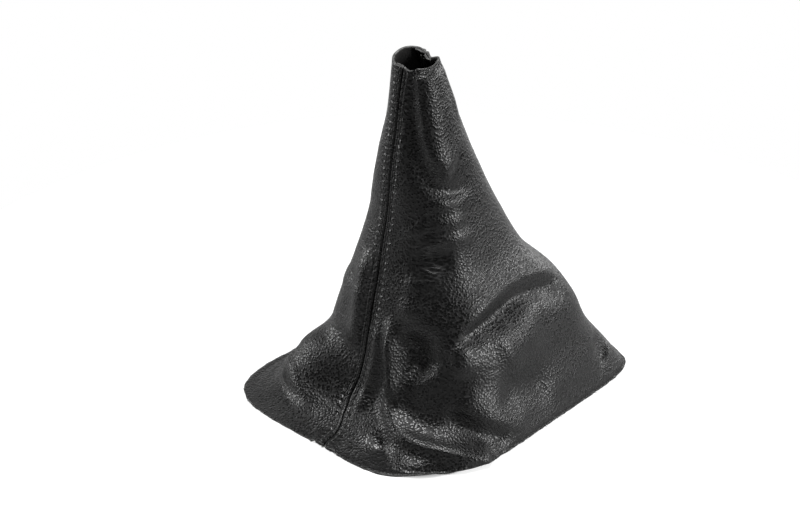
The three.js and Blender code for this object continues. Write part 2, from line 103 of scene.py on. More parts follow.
# Folds: path of (angle, level), how far the leather stands out along it, how wide that is
# to the left and right of the path seen from outside, and the fades at its two ends
FOLDS = {
    "ridge_beside_seam": ([(12, 33), (15.5, 24.5), (18.5, 16.5), (21, 9)], 7, 4.2, 3.7, (20, 14)),
    "ridge_across_corner": (
        [(17, 15), (19, 8.5), (25, 4.9), (35, 3.3), (46, 2.6), (56, 1.4), (63, 0)],
        5, 7.5, 5, (14, 7)),
    "ridge_by_seam": ([(2, 32), (3, 24), (3, 16), (1, 9), (1, 4)], 2.6, 4, 4, (16, 10)),
    "tuck_under_ridge": ([(14, 4), (23, 1.2), (36, 0), (50, 0)], -4.2, 4, 7, (14, 12)),
    "hollow": ([(27, 32), (30, 25), (35, 17)], -6.5, 14, 9, (16, 12)),
    "lip_over_hollow": ([(14, 35), (30, 35.5), (46, 37)], 1.5, 8, 5, (10, 10)),
    "hollow_lip": ([(54, 30), (55, 25), (53, 20)], 2.2, 8, 4, (8, 8)),
    "crease_top": ([(142, 34), (118, 38), (94, 38), (70, 35.5), (54, 31)], 2, 3.5, 13, (20, 26)),
    "crease_under": (
        [(138, 30.5), (116, 34.3), (93, 34.3), (70, 32), (56, 28.5)],
        -3.3, 8, 4, (16, 12)),
    "neck_bulge": ([(50, 100), (50, 90), (54, 81), (66, 75), (84, 71)], 3, 13, 4, (6, 8)),
    "neck_valley": (
        [(36, 100), (35, 88), (38, 79), (50, 70.5), (76, 67), (112, 66)],
        -2, 5, 5, (0, 12)),
    "neck_pleat": ([(137, 100), (133, 90), (128, 80.5)], 1, 3.5, 3.5, (0, 20)),
    "neck_notch": ([(161, 100), (158, 92), (154, 82)], -2.9, 4, 4, (0, 24)),
    "wrinkle_top": ([(24, 59), (50, 63.5), (75, 64.5), (104, 64)], 1.3, 3.5, 5, (24, 8)),
    "wrinkle_high": ([(8, 51), (30, 56.5), (58, 59), (90, 59)], 1.3, 3.5, 5, (20, 8)),
    "wrinkle_middle": ([(14, 49.5), (40, 53.5), (66, 54.5), (96, 54)], 1.3, 3.5, 5, (20, 10)),
    "pocket": ([(34, 48.5), (52, 50), (68, 51)], -1.8, 5, 7, (10, 10)),
    "wrinkle_low": ([(14, 41), (38, 43), (60, 45.5)], 1.2, 5, 6, (12, 12)),
    "ridge_left_of_seam": ([(-30, 47), (-21, 37), (-17, 27.5), (-17, 17.5)], 3.2, 6.5, 6, (14, 14)),
    "bulge_left": ([(-38, 38), (-38, 31)], 1.2, 12, 12, (6, 6)),
    "corner_front_left": (
        [(-45, 22), (-44, 15.5), (-43, 10), (-42, 5.5), (-41, 2)],
        10.5, 26, 9, (24, 12)),
    "corner_rear_right": ([(134, 13.5), (135, 6)], -3, 9, 9, (8, 4)),
    "billow": ([(114, 27), (94, 25), (74, 23)], 3, 14, 12, (18, 12)),
    "dip_under_billow": ([(70, 15.5), (86, 12.5), (106, 10)], -3.4, 10, 12, (12, 14)),
    "ridge_under_billow": ([(50, 15), (61, 11), (73, 7), (84, 3)], 2, 9, 5, (10, 8)),
    "hollow_under_billow": ([(44, 12), (54, 8.5), (63, 5.5), (72, 3.5)], -2.8, 6, 6, (10, 10)),
    "crease_rear": ([(-170, 36), (-150, 40), (-128, 38), (-108, 32)], 2, 7, 10, (18, 18)),
    "crease_rear_under": ([(-168, 31), (-150, 35), (-128, 33), (-110, 27.5)], -2.4, 10, 6.5, (16, 16)),
    "corner_rear_left": ([(-134, 26), (-134, 15), (-133, 8)], 4, 13, 13, (16, 12)),
    "hollow_left": ([(-84, 30), (-88, 20), (-90, 10)], -4.5, 13, 13, (14, 10)),
    "hollow_rear": ([(168, 26), (164, 16), (162, 8)], -4, 12, 12, (12, 8)),
}
PATH_STEPS = 6
FOLD_REACH = 3  # a fold is worked out within this many of its widths
SIDE_BLEND = 4  # a fold changes from its left width to its right one over this width

# Steps over which the directions of a surface are measured, in degrees and percent
SMALL_ANGLE = 0.4
SMALL_LEVEL = 0.2

# How deep a row of stitches draws the leather in, and half the width of that channel
CHANNEL = 0.42
CHANNEL_WIDTH = 0.85
# The finish's dent at each stitch hole: depth, and half sizes across and along the row
HOLE = (0.8, 0.8, 0.9)
# The finish's puckers beside a row: height, distance from the row and half width
PUCKER = (0.21, 1.7, 1.5)

# Soft unevenness of the hide: size of its swells and their height
SWELLS = [(24, 0.55), (9, 0.16), (4.5, 0.06)]
SWELLS_FROM = -0.6  # level from which they come in, just below the cut edge of the foot
SWELLS_GROW = 3  # and over how many levels they do
SWELLS_FROM_SEAM = 8  # distance from a seam at which they have their full height

# Gathered skin: angle, level, half sizes of the patch in degrees and percent, and depth
GATHERS = [
    (38, 50, 24, 11, 0.42),
    (62, 74, 30, 8, 0.2),
    (58, 20, 26, 9, 0.22),
    (-30, 30, 18, 12, 0.14),
    (-120, 40, 50, 12, 0.3),
]
GATHER_LENGTH = 11  # of one gather round the boot, and its width up the boot
GATHER_WIDTH = 3.1
GATHER_BEND = 5  # how far the gathers stray up and down, and the size of those bends
GATHER_BEND_SIZE = 16
GATHER_MIDDLE = 0.6  # the part of a gather's height that lies below the plain skin

# The foot's cut edge: how far the knife strayed, the size of its strays, and how far from
# the cut they die out
CUT_RAGGED = 0.45
CUT_RAGGED_SIZE = 4.5
CUT_ROLL = 2.5

# Loose fibres at the foot
FIBRE_STEPS = 5
FIBRE_SIDES = 5
FIBRE_SEED = 11
FIBRE_ROOT = 0.3  # how deep a fibre is rooted in the cut edge
TUFT_SIZE = 7  # fibres are long or short together over about this distance
TUFT_MIDDLE = 0.35  # middling and shortest tuft, and shortest fibre of a tuft, as shares
SHORTEST_TUFT = 0.1
SHORTEST_FIBRE = 0.4
FIBRE_CLEARANCE = 0.1  # above the floor

# Columns of faces beside a seam, as distances from its middle. Those of the inner layer
# start at the end of the allowance and run to the turn, and those of the outer layer start
# at the turn. The row of stitches has a column of its own in both.
INNER_COLUMNS = [5.6, 4.2]
INNER_COLUMN_BY_TURN = 2.1
OUTER_COLUMNS_BY_TURN = [1.9, 2.3]
OUTER_COLUMNS = [3.1, 3.6, 4.2, 4.9, 5.6, 6.3]
TURN_STEPS = 8
SPACING_LEVEL = 12.0  # the level at which the columns between the seams are evenly spaced
SPACING_SIDES = [0, 45, 90, 135, 180, -135, -90, -45]  # the rows are evenly spaced over these

# Threads: points to a stitch, how far a topstitch rises between its holes and how deep it
# lies in them, and how far the inside threads sag
TOPSTITCH_STEPS = 14
TOPSTITCH_RISE = 0.62
TOPSTITCH_SUNK = 0.42
INSIDE_STEPS = 10
INSIDE_START = 3  # the inside threads start this many stitches above the foot
BOBBIN_SAG = 0.3
CLOSING_SAG = 0.12
PLIES = 3
PLY_DEPTH = 0.16  # depth of the grooves between the plies, as a share of the radius
PLY_LAY = 0.6  # how far the plies turn for each radius of length, in radians

# Stage, in metres and degrees: the floor under the boot, where no white surround shows, as
# half sizes; what the camera looks at, as its height and its distance to the camera's right;
# and each softbox by its angle round the gaiter and above the floor, its width and length,
# and its share of the stage's radiance
UNDER_BOOT = (0.073, 0.0885)
UNDER_FLOOR = 0.0001
FLOOR_CORNERS = 96
CAMERA_TARGET = 0.07142
CAMERA_ASIDE = -0.01948
LAMP_TARGET = 0.08
LAMP_DISTANCE = 1.0
SOFTBOXES = {
    "overhead_softbox": ((0, 82), (0.42, 0.42), 1.15),
    "right_softbox": ((103, 18), (0.34, 0.5), 0.76),
    "rear_right_softbox": ((146, 17), (0.26, 0.2), 0.9),
    "left_softbox": ((-62, 12), (0.36, 0.36), 0.62),
    "rear_softbox": ((180, 10), (0.44, 0.34), 0.24),
}


class LeatherSettings(bpy.types.PropertyGroup):
    thickness: bpy.props.FloatProperty(
        name="Thickness", description="Thickness of one layer of leather",
        default=0.0012, min=0.0005, unit="LENGTH")
    allowance: bpy.props.FloatProperty(
        name="Seam allowance", description="Width turned in along each side seam",
        default=0.007, min=0.004, unit="LENGTH")
    layer_gap: bpy.props.FloatProperty(
        name="Layer gap", description="Gap between the leather and its turned-in edge",
        default=0.0004, unit="LENGTH")
    seam_gap: bpy.props.FloatProperty(
        name="Seam gap", description="Gap between the two panels at a seam",
        default=0.0003, unit="LENGTH")
    rows: bpy.props.IntProperty(
        name="Rows", description="Rows of faces from foot to rim", default=226, min=20)
    columns: bpy.props.IntProperty(
        name="Columns", description="Columns of faces between the seam allowances",
        default=146, min=20)
    colour: bpy.props.FloatVectorProperty(
        name="Grain colour", description="Colour of the finished grain side",
        default=(0.0042, 0.0042, 0.0042), min=0, max=1, subtype="COLOR")
    flesh_colour: bpy.props.FloatVectorProperty(
        name="Flesh colour", description="Colour of the napped inside",
        default=(0.02, 0.0195, 0.019), min=0, max=1, subtype="COLOR")
    cut_colour: bpy.props.FloatVectorProperty(
        name="Cut colour", description="Colour of the raw cut edges",
        default=(0.15, 0.15, 0.148), min=0, max=1, subtype="COLOR")
    roughness: bpy.props.FloatProperty(
        name="Roughness", description="Roughness of the pebbles' tops", default=0.19, subtype="FACTOR")
    valley_roughness: bpy.props.FloatProperty(
        name="Valley roughness", description="How much rougher the valleys between pebbles are",
        default=0.42, subtype="FACTOR")
    specular: bpy.props.FloatProperty(
        name="Specular level", description="Strength of the finish's reflection",
        default=0.5, subtype="FACTOR")
    grain_size: bpy.props.FloatProperty(
        name="Grain size", description="Width of one pebble of the grain",
        default=0.00135, unit="LENGTH")
    grain_depth: bpy.props.FloatProperty(
        name="Grain depth", description="Depth between the pebbles", default=0.0002, unit="LENGTH")
    fibres: bpy.props.IntProperty(
        name="Fibres", description="Loose fibres along the cut foot of each panel",
        default=170, min=0)
    fibre_length: bpy.props.FloatProperty(
        name="Fibre length", description="Longest loose fibre", default=0.0026, unit="LENGTH")
    fibre_radius: bpy.props.FloatProperty(
        name="Fibre radius", description="Radius of a loose fibre at its root",
        default=0.00011, unit="LENGTH")
    crease_shape: bpy.props.FloatVectorProperty(
        name="Crease shape", description="How much smaller than a pebble a crease is along X, Y and Z",
        default=(0.42, 0.42, 1.05), min=0.1, max=4)


class ThreadSettings(bpy.types.PropertyGroup):
    stitch_length: bpy.props.FloatProperty(
        name="Stitch length", description="Distance between two holes", default=0.0036, unit="LENGTH")
    offset: bpy.props.FloatProperty(
        name="Row offset", description="From the middle of the seam to each row of stitches",
        default=0.0027, unit="LENGTH")
    radius: bpy.props.FloatProperty(
        name="Radius", description="Radius of the topstitching thread", default=0.0004, unit="LENGTH")
    closing_radius: bpy.props.FloatProperty(
        name="Closing radius", description="Radius of the thread that closes a seam",
        default=0.0002, unit="LENGTH")
    clearance: bpy.props.FloatProperty(
        name="Clearance", description="Between the inside threads and the leather",
        default=0.0003, unit="LENGTH")
    end_gap: bpy.props.FloatProperty(
        name="End gap", description="A thread stops this far from the cut edges",
        default=0.0015, unit="LENGTH")
    colour: bpy.props.FloatVectorProperty(
        name="Colour", description="Colour of the thread",
        default=(0.02, 0.02, 0.02), min=0, max=1, subtype="COLOR")


class StageSettings(bpy.types.PropertyGroup):
    floor_colour: bpy.props.FloatVectorProperty(
        name="Floor colour", description="Colour of the pale floor",
        default=(0.4, 0.4, 0.4), min=0, max=1, subtype="COLOR")
    floor_radius: bpy.props.FloatProperty(
        name="Floor radius", description="Radius of the round table top", default=0.34, unit="LENGTH")
    azimuth: bpy.props.FloatProperty(
        name="Azimuth", description="Camera angle round the gaiter, from its front towards its right",
        default=math.radians(42.5), subtype="ANGLE")
    elevation: bpy.props.FloatProperty(
        name="Elevation", description="Camera angle above the floor",
        default=math.radians(30.3), subtype="ANGLE")
    distance: bpy.props.FloatProperty(
        name="Distance", description="From the camera to its target", default=1.0, unit="LENGTH")
    lens: bpy.props.FloatProperty(
        name="Focal length", description="Focal length in millimetres", default=83.33)
    softbox_radiance: bpy.props.FloatProperty(
        name="Softboxes", description="Brightness that each softbox has its share of, where 1 is white",
        default=17)


# Surface of the boot

def smooth_rows(at, rows):
    """Values of a smooth curve through rows that each start with their level."""
    rows = np.asarray(rows, float)
    x, y = rows[:, 0], rows[:, 1:]
    at = np.clip(np.asarray(at, float), x[0], x[-1])
    step = np.diff(x)
    rise = np.diff(y, axis=0) / step[:, None]
    slope = np.empty_like(y)
    slope[0], slope[-1] = rise[0], rise[-1]
    before, after = step[:-1, None], step[1:, None]
    slope[1:-1] = (rise[:-1] * after + rise[1:] * before) / (before + after)
    i = np.clip(np.searchsorted(x, at, side="right") - 1, 0, len(x) - 2)
    span = step[i][..., None]
    t = ((at - x[i]) / step[i])[..., None]
    return ((2 * t**3 - 3 * t**2 + 1) * y[i] + (t**3 - 2 * t**2 + t) * span * slope[i]
            + (3 * t**2 - 2 * t**3) * y[i + 1] + (t**3 - t**2) * span * slope[i + 1])


def fade_in(x):
    """0 up to 0, 1 from 1 on, and a smooth way between."""
    t = np.clip(x, 0, 1)
    return t * t * (3 - 2 * t)


def edge_rise(angle, edge):
    """Sum of a cut edge's waves at an angle."""
    rise = np.zeros_like(angle)
    for at, height, half in edge:
        off = (angle - at + 180) % 360 - 180
        rise += height * np.exp(-(off / half)**2)
    return rise


def plain_point(angle, level):
    """Point of the plain boot, without folds."""
    angle, level = np.broadcast_arrays(np.asarray(angle, float), np.asarray(level, float))
    front, rear, left, right, lean_x, lean_y, square = np.moveaxis(smooth_rows(level, SECTIONS), -1, 0)
    sine, cosine = np.sin(np.radians(angle)), np.cos(np.radians(angle))
    reach_x = (NECK_WIDTH + (FOOT_WIDTH - NECK_WIDTH) * np.where(sine < 0, left, right) / 100) / 2
    reach_y = (NECK_LENGTH + (FOOT_LENGTH - NECK_LENGTH) * np.where(cosine < 0, rear, front) / 100) / 2
    corner = np.where(
        cosine < 0,
        np.where(sine < 0, CORNER_POWER["rear_left"], CORNER_POWER["rear_right"]),
        np.where(sine < 0, CORNER_POWER["front_left"], CORNER_POWER["front_right"]))
    power = 2 + (corner - 2) * np.maximum(square, 0) / 100
    radius = (np.abs(sine / reach_x)**power + np.abs(cosine / reach_y)**power)**(-1 / power)
    height = level / 100 * HEIGHT
    near_foot = np.maximum(1 - height / EDGE_REACH, 0)**2
    near_rim = np.maximum(1 - (HEIGHT - height) / RIM_REACH, 0)**2
    reach = radius + edge_rise(angle, OUTLINE_WAVES) * near_foot
    return np.stack([
        lean_x / 100 * NECK_SHIFT[0] + reach * sine,
        lean_y / 100 * NECK_SHIFT[1] - reach * cosine,
        height + edge_rise(angle, EDGE_WAVES) * near_foot + edge_rise(angle, RIM_WAVES) * near_rim,
    ], -1)


def unit(vectors):
    """Vectors at length 1."""
    return vectors / np.maximum(np.linalg.norm(vectors, axis=-1, keepdims=True), 1e-12)


def run_along(line):
    """Distance along a line at each of its points."""
    return np.concatenate([[0], np.cumsum(np.linalg.norm(np.diff(line, axis=0), axis=1))])


def directions(surface, angle, level):
    """Outward direction, and the direction of rising angle, of a surface."""
    along = surface(angle + SMALL_ANGLE, level) - surface(angle - SMALL_ANGLE, level)
    up = (surface(angle, np.minimum(level + SMALL_LEVEL, 100))
          - surface(angle, np.maximum(level - SMALL_LEVEL, 0)))
    return unit(np.cross(along, up)), unit(along)


def smooth_path(path):
    """Points of a smooth line through a fold's path, on the plain boot."""
    p = np.asarray(path, float)
    ends = np.vstack([2 * p[0] - p[1], p, 2 * p[-1] - p[-2]])
    t = np.arange(PATH_STEPS)[:, None] / PATH_STEPS
    runs = [
        0.5 * (2 * b + (c - a) * t + (2 * a - 5 * b + 4 * c - d) * t**2 + (3 * b - a - 3 * c + d) * t**3)
        for a, b, c, d in zip(ends, ends[1:], ends[2:], ends[3:])
    ]
    line = np.vstack([*runs, p[-1:]])
    return plain_point(line[:, 0], np.clip(line[:, 1], 0, 100))


FOLD_LINES = {name: smooth_path(fold[0]) for name, fold in FOLDS.items()}


def fold_move(name, points, out):
    """How far one fold moves points of the plain boot along their outward direction."""
    _, height, left, right, (fade_start, fade_end) = FOLDS[name]
    line = FOLD_LINES[name]
    reach = FOLD_REACH * max(left, right)
    near = np.all((points > line.min(0) - reach) & (points < line.max(0) + reach), axis=-1)
    p, n = points[near], out[near]
    best = np.full(len(p), np.inf)
    side, along = np.zeros(len(p)), np.zeros(len(p))
    run = 0.0
    for start, end in zip(line, line[1:]):
        step = end - start
        length = np.linalg.norm(step)
        t = np.clip((p - start) @ step / length**2, 0, 1)
        off = p - (start + t[:, None] * step)
        distance = np.linalg.norm(off, axis=1)
        closer = distance < best
        best = np.where(closer, distance, best)
        along = np.where(closer, run + t * length, along)
        side = np.where(closer, np.einsum("ij,ij->i", np.cross(step, off), n), side)
        run += length
    on_left = fade_in(0.5 + np.sign(side) * best / SIDE_BLEND)
    width = right + (left - right) * on_left
    ends = fade_in(along / fade_start) if fade_start else 1
    if fade_end:
        ends = ends * fade_in((run - along) / fade_end)
    move = np.zeros(points.shape[:-1])
    move[near] = height * ends * np.exp(-(best / width)**2)
    return move


def folded_point(angle, level):
    """Point of the boot's grain side, with its folds."""
    points = plain_point(angle, level)
    out, _ = directions(plain_point, angle, level)
    move = sum(fold_move(name, points, out) for name in FOLDS)
    return points + out * move[..., None]


def angle_from_seam(seam, level, distance):
    """Angle at a distance along the leather from a seam, to its right if above zero."""
    middle = smooth_rows(level, seam)[..., 0]
    per_degree = np.linalg.norm(plain_point(middle + 1, level) - plain_point(middle - 1, level), axis=-1) / 2
    return middle + distance / per_degree


def soft_noise(points, size):
    """Smooth noise from -1 to 1 at points, with features of about the given size."""
    flat = (points / size).reshape(-1, 3)
    return np.array([noise.noise(Vector(p)) for p in flat]).reshape(points.shape[:-1])


def gathered(angle, level):
    """How gathered the skin is, from 0 to the depth of its gathers."""
    depth = np.zeros_like(level)
    for at, height, half_angle, half_level, most in GATHERS:
        off = (angle - at + 180) % 360 - 180
        depth += most * np.exp(-(off / half_angle)**2 - ((level - height) / half_level)**2)
    return depth


def skin_move(points, angle, level):
    """Swells and gathers of the hide, along its outward direction."""
    move = sum(rise * soft_noise(points, size) for size, rise in SWELLS)
    around = np.radians(angle) * np.linalg.norm(points[..., :2], axis=-1)
    height = points[..., 2] + GATHER_BEND * soft_noise(points, GATHER_BEND_SIZE)
    creased = np.stack([around / GATHER_LENGTH, height / GATHER_WIDTH, 0 * around], -1)
    ridges = 1 - 2 * np.abs(soft_noise(creased, 1))
    return move + gathered(angle, level) * (ridges - GATHER_MIDDLE)


class Boot:
    """The leather's sizes in millimetres, and the finished grain side."""

    def __init__(self, leather, thread):
        self.leather = leather.thickness / MM
        self.allowance = leather.allowance / MM
        self.layer_gap = leather.layer_gap / MM
        self.seam_gap = leather.seam_gap / MM
        self.inner_layer = self.leather + self.layer_gap
        self.turn_radius = self.leather + self.layer_gap / 2
        self.offset = thread.offset / MM
        self.stitch = thread.stitch_length / MM
        self.end_gap = thread.end_gap / MM
        self.known_stitches = {}

    def stitches(self, seam):
        """Levels, the distance along a seam at each in stitches from its first hole, and how
        many stitches its rows have."""
        name, path = seam
        if name not in self.known_stitches:
            levels = np.linspace(0, 100, 600)
            runs = run_along(folded_point(angle_from_seam(path, levels, 0 * levels), levels))
            length = runs[-1] - 2 * self.end_gap
            count = math.floor(length / self.stitch)
            self.known_stitches[name] = (levels, (runs - self.end_gap) / length * count, count)
        return self.known_stitches[name]

    def channel(self, distance):
        """How the two rows of stitches draw the leather in beside a seam."""
        return -CHANNEL * np.exp(-((np.abs(distance) - self.offset) / CHANNEL_WIDTH)**2)

    def grain_side(self, angle, level, seam, distance):
        """Finished grain side beside a seam: points, outward directions and directions of
        rising angle. Points settle so that all layers under them clear the floor."""
        points = folded_point(angle, level)
        out, along = directions(folded_point, angle, level)
        move = skin_move(points, angle, level) * fade_in((level - SWELLS_FROM) / SWELLS_GROW)
        if seam is not None:
            move = move * fade_in(np.abs(distance) / SWELLS_FROM_SEAM) + self.channel(distance)
        points = points + out * move[..., None]
        doubled = 1 - fade_in((np.abs(distance) - self.allowance) / self.allowance)
        least = (self.leather + doubled * self.inner_layer) * np.maximum(out[..., 2], 0)
        points[..., 2] = np.maximum(points[..., 2], least)
        return points, out, along


def even_steps(curve, count):
    """Parameters from 0 to 1 that are about evenly spaced along a curve of one parameter."""
    fine = np.linspace(0, 1, 400)
    runs = run_along(curve(fine))
    return np.interp(np.linspace(0, runs[-1], count + 1), runs, fine)


def row_levels(count):
    """Levels of the rows, evenly spaced up the boot on average over its sides."""
    def climb(share):
        return np.concatenate(
            [plain_point(np.full_like(share, angle), share * 100) for angle in SPACING_SIDES], axis=1)

    return 100 * even_steps(climb, count)


class MeshParts:
    """Vertices and faces gathered for one mesh, in millimetres."""

    def __init__(self):
        self.points, self.faces, self.kinds, self.count = [], [], [], 0
        self.fields = {}

    def add(self, points, faces, kind=0):
        """Adds faces on points of their own. Kind is the material of all, or one for each."""
        self.points.append(np.asarray(points, float).reshape(-1, 3))
        self.faces.extend(tuple(int(i) + self.count for i in face) for face in faces)
        self.kinds.extend([kind] * len(faces) if np.isscalar(kind) else list(kind))
        self.count += len(self.points[-1])

    def build(self, name, materials, slot):
        """Makes one visible piece that rides on the gaiter's body."""
        mesh = bpy.data.meshes.new(name)
        mesh.from_pydata((np.concatenate(self.points) * MM).tolist(), [], self.faces)
        for material in materials:
            mesh.materials.append(material)
        mesh.polygons.foreach_set("material_index", self.kinds)
        mesh.polygons.foreach_set("use_smooth", [True] * len(self.faces))
        for field, values in self.fields.items():
            mesh.attributes.new(field, "FLOAT", "POINT").data.foreach_set("value", values)
        mesh.update()
        piece = bpy.data.objects.new(name, mesh)
        bpy.context.scene.collection.objects.link(piece)
        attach(piece, BODY)
        return piece


GRAIN, CUT, FLESH = 0, 1, 2
FLESH_AWAY = 99  # keeps the dents of the stitches off the flesh side


def seam_profile(boot):
    """Section of a panel's turned edge, from the end of the allowance through the turn to
    the outer layer. Gives the distances from the seam of the grain side and the flesh side,
    and their depths under the finished grain side."""
    bend = boot.turn_radius + boot.seam_gap / 2
    inner = np.array([boot.allowance, *INNER_COLUMNS, boot.offset, INNER_COLUMN_BY_TURN, bend])
    outer = np.array([bend, *OUTER_COLUMNS_BY_TURN, boot.offset, *OUTER_COLUMNS, boot.allowance])
    turn = np.pi * np.arange(1, TURN_STEPS) / TURN_STEPS
    half_gap = boot.layer_gap / 2
    grain_at = np.concatenate([inner, bend - boot.turn_radius * np.sin(turn), outer])
    flesh_at = np.concatenate([inner, bend - half_gap * np.sin(turn), outer])
    grain_depth = np.concatenate([
        np.full(len(inner), boot.inner_layer + boot.leather),
        boot.turn_radius * (1 + np.cos(turn)),
        np.zeros(len(outer))])
    flesh_depth = np.concatenate([
        np.full(len(inner), boot.inner_layer),
        boot.turn_radius + half_gap * np.cos(turn),
        np.full(len(outer), boot.leather)])
    return grain_at, flesh_at, grain_depth, flesh_depth


def panel_mesh(boot, levels, columns, start, end):
    """One panel between two seams, each given as (name, path): a closed skin of grain side,
    flesh side, turned seam edges and cut ends."""
    grain_at, flesh_at, grain_depth, flesh_depth = seam_profile(boot)
    level = levels[:, None]
    first = angle_from_seam(start[1], level, boot.allowance)
    last = angle_from_seam(end[1], level, -boot.allowance)
    first_seam, last_seam = (smooth_rows(SPACING_LEVEL, path)[0] for _, path in (start, end))

    def girth(share):
        return plain_point(first_seam + (last_seam - first_seam) * share, SPACING_LEVEL)

    shares = even_steps(girth, columns)[1:-1]

    def beside(seam, sign):
        angle = angle_from_seam(seam[1], level, sign * grain_at)
        return boot.grain_side(angle, level + 0 * angle, seam[1], sign * grain_at + 0 * angle)

    def between():
        angle = first + (last - first) * shares
        return boot.grain_side(angle, level + 0 * angle, None, 2 * boot.allowance + 0 * angle)

    base, out, along = (
        np.concatenate([a, b, c[:, ::-1]], axis=1)
        for a, b, c in zip(beside(start, 1), between(), beside(end, -1)))
    inward = flesh_at - grain_at
    inward = np.concatenate([inward, 0 * shares, -inward[::-1]])
    grain_depth = np.concatenate([grain_depth, 0 * shares, grain_depth[::-1]])
    flesh_depth = np.concatenate([flesh_depth, np.full(len(shares), boot.leather), flesh_depth[::-1]])
    base = base + ragged_cut(base)
    grain = base - out * grain_depth[:, None]
    flesh = base + along * inward[:, None] - out * flesh_depth[:, None]
    ring = np.concatenate([grain, flesh[:, ::-1]], axis=1)
    ring[..., 2] = np.maximum(ring[..., 2], 0)
    parts = MeshParts()
    parts.add(ring, *ring_faces(*ring.shape[:2]))

    from_seam = np.concatenate([grain_at, np.full(len(shares), 2 * boot.allowance), grain_at[::-1]])
    phases = [np.interp(level, *boot.stitches(seam)[:2]) for seam in (start, end)]
    across = len(from_seam)
    phase = np.where(np.arange(across) < across // 2, *phases)
    x, y, z = parts.points[0].T
    parts.fields = {
        "from_seam": np.tile(np.concatenate([from_seam, from_seam[::-1] + FLESH_AWAY]), len(levels)),
        "stitch_phase": np.concatenate([phase, phase[:, ::-1]], axis=1).ravel(),
        "gathers": gathered(np.degrees(np.arctan2(x, -y)), z / HEIGHT * 100),
    }
    return parts


def ring_faces(rows, around):
    """Faces of a closed skin of rings, whose first half is grain side and second half flesh
    side, and the kind of each."""
    across = around // 2
    index = np.arange(rows * around).reshape(rows, around)
    following = np.roll(index, -1, axis=1)
    sides = np.stack([index[:-1], following[:-1], following[1:], index[1:]], -1)
    kinds = np.full((rows - 1, around), GRAIN)
    kinds[:, across:] = FLESH
    kinds[:, [across - 1, around - 1]] = CUT
    foot, rim = index[0], index[-1]
    low = [(foot[i], foot[-1 - i], foot[-2 - i], foot[i + 1]) for i in range(across - 1)]
    high = [(rim[i], rim[i + 1], rim[-2 - i], rim[-1 - i]) for i in range(across - 1)]
    faces = [*sides.reshape(-1, 4).tolist(), *low, *high]
    return faces, [*kinds.reshape(-1).tolist(), *[CUT] * (len(low) + len(high))]


def ragged_cut(base):
    """Strays of the knife along the foot's cut edge, outwards."""
    outline = base[0]
    outwards = unit(outline * (1, 1, 0))
    strays = soft_noise(outline, CUT_RAGGED_SIZE) + 0.6 * soft_noise(outline, CUT_RAGGED_SIZE / 3)
    away = np.linalg.norm(base - outline, axis=-1)
    return outwards * (CUT_RAGGED * strays * np.exp(-(away / CUT_ROLL)**2))[..., None]


def edge_fibres(boot, leather, start, end, random):
    """Loose fibres that stand out of the foot's cut edge between two seams."""
    first, last = (smooth_rows(0.0, path)[0] for _, path in (start, end))
    angle = np.sort(random.uniform(first, last, leather.fibres))
    root, out, along = boot.grain_side(angle, 0 * angle, None, 2 * boot.allowance + 0 * angle)
    root = root + ragged_cut(root[None])[0] - out * boot.leather / 2
    outwards = unit(root * (1, 1, 0))
    tuft = np.maximum(soft_noise(root, TUFT_SIZE) + TUFT_MIDDLE, SHORTEST_TUFT)
    length = leather.fibre_length / MM * tuft * random.uniform(SHORTEST_FIBRE, 1, len(angle))
    aside, lift, droop = random.uniform(-1, 1, (3, len(angle)))
    rise = 0.25 * lift - 0.2 * np.abs(droop)
    share = np.linspace(0, 1, FIBRE_STEPS)[:, None]
    thick = leather.fibre_radius / MM * (1.1 - share)
    parts = MeshParts()
    for i in range(len(angle)):
        course = outwards[i] + (along[i] * aside[i] + (0, 0, rise[i])) * share
        line = root[i] - FIBRE_ROOT * outwards[i] + course * share * (length[i] + FIBRE_ROOT)
        line[:, 2] = np.maximum(line[:, 2], FIBRE_CLEARANCE)
        thread_tube(parts, line, np.array([0, 0, 1.0]), thick, sides=FIBRE_SIDES, lay=0)
    return parts


# Threads

def thread_tube(parts, points, out, radius, sides=10, lay=PLY_LAY):
    """A laid thread of a few plies through points that each have an outward direction."""
    ahead = unit(np.gradient(points, axis=0))
    across = unit(np.cross(ahead, out))
    up = np.cross(across, ahead)
    turn = 2 * np.pi * np.arange(sides) / sides
    twist = run_along(points)[:, None] * lay / radius
    grooves = PLY_DEPTH * np.abs(np.cos(PLIES / 2 * (turn - twist)))
    reach = radius * (1 + grooves) / (1 + PLY_DEPTH * 0.75)
    ring = (points[:, None] + across[:, None] * (reach * np.cos(turn))[..., None]
            + up[:, None] * (reach * np.sin(turn))[..., None])
    index = np.arange(ring.shape[0] * sides).reshape(-1, sides)
    following = np.roll(index, -1, axis=1)
    faces = np.stack([index[:-1], index[1:], following[1:], following[:-1]], -1).reshape(-1, 4).tolist()
    parts.add(ring, [*faces, index[0].tolist(), index[-1][::-1].tolist()])


def seam_thread(boot, path, distance, heights, level, radius):
    """A thread along a seam: its centre is at the given heights over the grain side."""
    angle = angle_from_seam(path, level, distance)
    points, out, _ = boot.grain_side(angle, level, path, np.full_like(level, distance))
    parts = MeshParts()
    thread_tube(parts, points + out * heights[:, None], out, radius)
    return parts


def stitch_levels(boot, seam, steps, first=0):
    """Levels of evenly spaced points along a row of stitches, and how far each is from its
    stitch's holes: 0 in a hole and 1 in the middle."""
    levels, phases, count = boot.stitches(seam)
    phase = np.linspace(first, count, (count - first) * steps + 1)
    return np.interp(phase, phases, levels), np.abs(np.sin(np.pi * phase))**0.5


# Node materials

